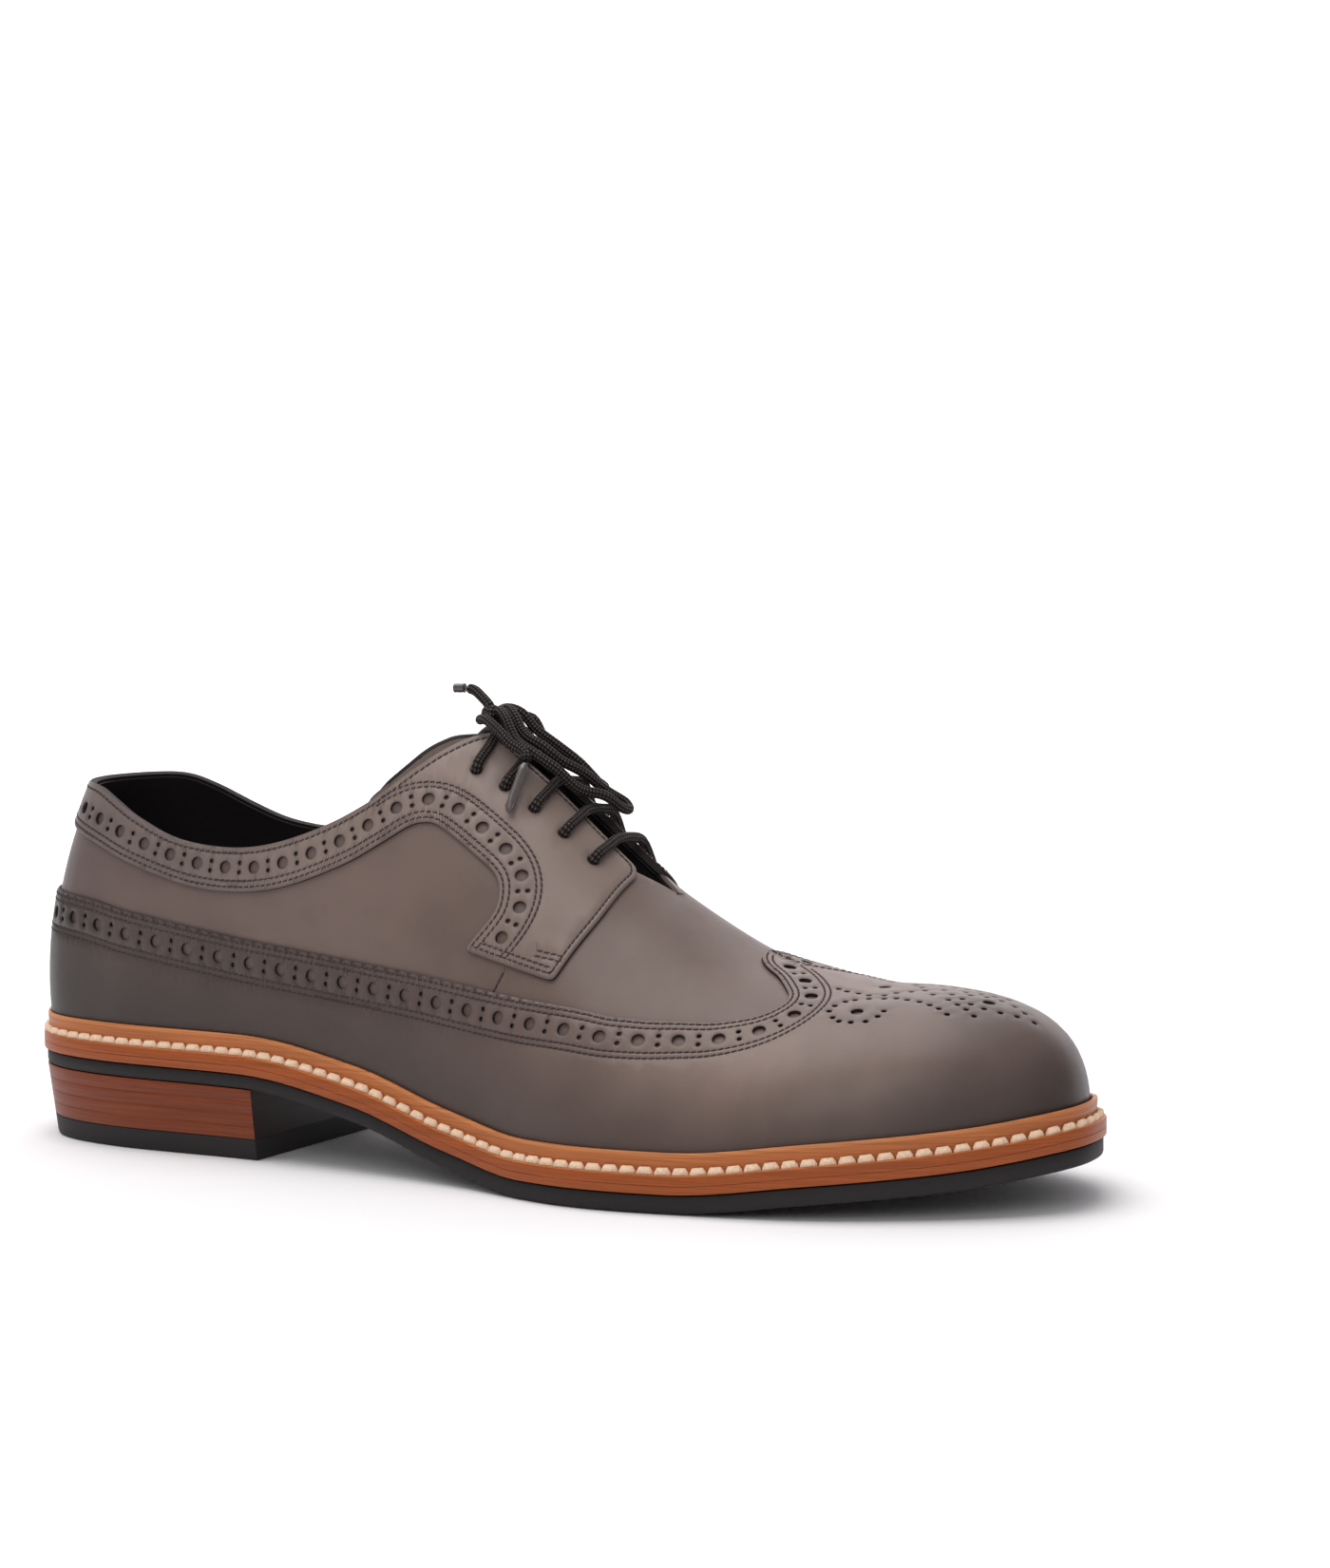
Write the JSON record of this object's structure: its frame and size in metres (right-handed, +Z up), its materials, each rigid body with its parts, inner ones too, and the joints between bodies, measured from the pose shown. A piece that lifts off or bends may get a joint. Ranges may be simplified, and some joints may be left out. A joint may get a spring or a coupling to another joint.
{
  "type": "longwing brogue shoe",
  "caption": "Men's right longwing derby in burnished grey leather with broguing, laced and tied, on a storm welt, stacked leather heel and rubber outsole.",
  "frame": {"origin": "middle of the shoe's box on the floor, loose lace left out", "axes": "+X from the heel to the toe, +Y to the inner side of the foot, +Z up; the shoe stands on its sole"},
  "size_m": [0.309, 0.1052, 0.1241],
  "materials": {
    "top_lift_rubber": "matt black rubber heel piece",
    "outsole_rubber": "matt black rubber",
    "stack_leather": "stacked and stained brown leather, satin",
    "midsole_leather": "stained tan-brown leather edge, satin",
    "welt_leather": "tan-brown leather, satin, cream stitching",
    "insole_leather": "black sock leather",
    "upper_leather": "grey-taupe calf, burnished dark at toe, heel and welt, polished",
    "tongue_leather": "grey-taupe calf with a black turned edge",
    "lace_cord": "black round braided cord, waxed",
    "lace_tip": "clear plastic lace tip"
  },
  "bodies": {
    "root": {"top_lift": "top_lift_rubber", "heel_stack": "stack_leather", "outsole": "outsole_rubber", "midsole": "midsole_leather", "welt": "welt_leather", "insole": "insole_leather", "upper": "upper_leather", "tongue": "tongue_leather", "lace_bar_1": "lace_cord", "lace_bar_2": "lace_cord", "lace_bar_3": "lace_cord", "lace_bar_4": "lace_cord", "lace_bar_5": "lace_cord", "lace_knot": "lace_cord", "lace_loop_near": "lace_cord", "lace_loop_far": "lace_cord", "lace_end_back": "lace_cord", "lace_end_front": "lace_cord", "lace_tip_back": "lace_tip", "lace_tip_front": "lace_tip"}
  },
  "joints": []
}
